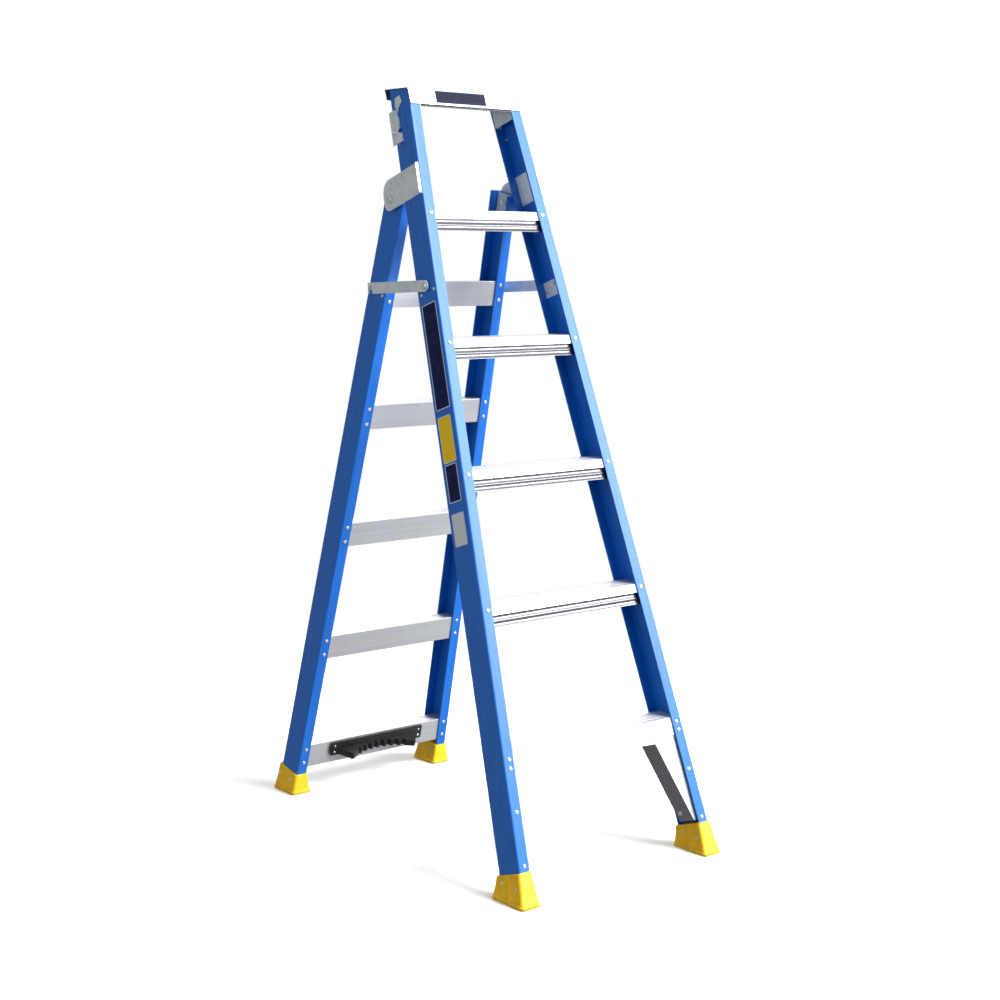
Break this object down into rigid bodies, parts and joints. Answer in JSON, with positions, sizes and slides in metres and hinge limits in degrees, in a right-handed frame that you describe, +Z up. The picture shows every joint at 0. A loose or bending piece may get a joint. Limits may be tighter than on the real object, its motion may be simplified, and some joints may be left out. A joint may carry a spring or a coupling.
{
  "type": "dual-purpose step ladder",
  "caption": "Fibreglass-stile step ladder with aluminium treads, a hinged rear section that also swings up to extend it, spreader bars and rubber feet.",
  "frame": {"origin": "middle of the open ladder's footprint, on the ground", "axes": "+Z up; -Y is the climbing side; +X to the climber's right"},
  "size_m": [0.6, 1.0474, 1.7294],
  "materials": {
    "fibreglass": "satin pultruded",
    "aluminium": "mill, brushed along its length",
    "galvanised_steel": "zinc plated",
    "yellow_rubber": "matt moulded",
    "black_rubber": "matt moulded"
  },
  "bodies": {
    "front_section": {"front_stile_left": "fibreglass", "front_stile_right": "fibreglass", "front_foot_left": "yellow_rubber", "front_foot_right": "yellow_rubber", "knee_brace_left": "aluminium", "knee_brace_right": "aluminium", "cap_bracket_left": "galvanised_steel", "cap_bracket_right": "galvanised_steel", "hinge_plate_left": "galvanised_steel", "hinge_plate_right": "galvanised_steel", "hinge_backing_left": "galvanised_steel", "hinge_backing_right": "galvanised_steel", "hinge_bolt_left": "galvanised_steel", "hinge_bolt_right": "galvanised_steel", "hinge_spacer_left": "galvanised_steel", "hinge_spacer_right": "galvanised_steel", "hinge_nut_left": "galvanised_steel", "hinge_nut_right": "galvanised_steel", "spreader_rivet_left": "galvanised_steel", "spreader_rivet_right": "galvanised_steel", "spreader_backing_left": "galvanised_steel", "spreader_backing_right": "galvanised_steel", "latch_bracket_left": "galvanised_steel", "latch_bracket_right": "galvanised_steel", "latch_pin_left": "galvanised_steel", "latch_pin_right": "galvanised_steel", "tread_1": "aluminium", "tread_2": "aluminium", "tread_3": "aluminium", "tread_4": "aluminium", "tread_5": "aluminium", "top_cap": "aluminium"},
    "rear_section": {"rear_stile_left": "fibreglass", "rear_stile_right": "fibreglass", "rear_foot_left": "yellow_rubber", "rear_foot_right": "yellow_rubber", "rear_backing_left": "galvanised_steel", "rear_backing_right": "galvanised_steel", "spreader_pin_left": "galvanised_steel", "spreader_pin_right": "galvanised_steel", "rung_1": "aluminium", "rung_2": "aluminium", "rung_3": "aluminium", "rung_4": "aluminium", "rung_5": "aluminium", "pole_rest": "black_rubber"},
    "spreader_left": {"spreader_bar_left": "galvanised_steel"},
    "spreader_right": {"spreader_bar_right": "galvanised_steel"},
    "latch_left": {"latch_lever_left": "galvanised_steel"},
    "latch_right": {"latch_lever_right": "galvanised_steel"}
  },
  "joints": [
    {"name": "rear_section_fold", "type": "hinge", "parent": "front_section", "child": "rear_section", "pos_m": [0, 0.11695, 1.4791], "axis": [1, 0, 0], "range_deg": [-32.5, 147]},
    {"name": "spreader_left_lift", "type": "hinge", "parent": "front_section", "child": "spreader_left", "pos_m": [-0.19679, -0.03846, 1.28671], "axis": [1, 0, 0], "range_deg": [0, 72]},
    {"name": "spreader_right_lift", "type": "hinge", "parent": "front_section", "child": "spreader_right", "pos_m": [0.19679, -0.03846, 1.28671], "axis": [1, 0, 0], "range_deg": [0, 72]},
    {"name": "latch_left_swing", "type": "hinge", "parent": "front_section", "child": "latch_left", "pos_m": [-0.16464, 0.10978, 1.62815], "axis": [-1, 0, 0], "range_deg": [0, 18], "stiffness_Nm_per_rad": 0.03, "springref_deg": -17.19},
    {"name": "latch_right_swing", "type": "hinge", "parent": "front_section", "child": "latch_right", "pos_m": [0.16464, 0.10978, 1.62815], "axis": [-1, 0, 0], "range_deg": [0, 18], "stiffness_Nm_per_rad": 0.03, "springref_deg": -17.19}
  ]
}
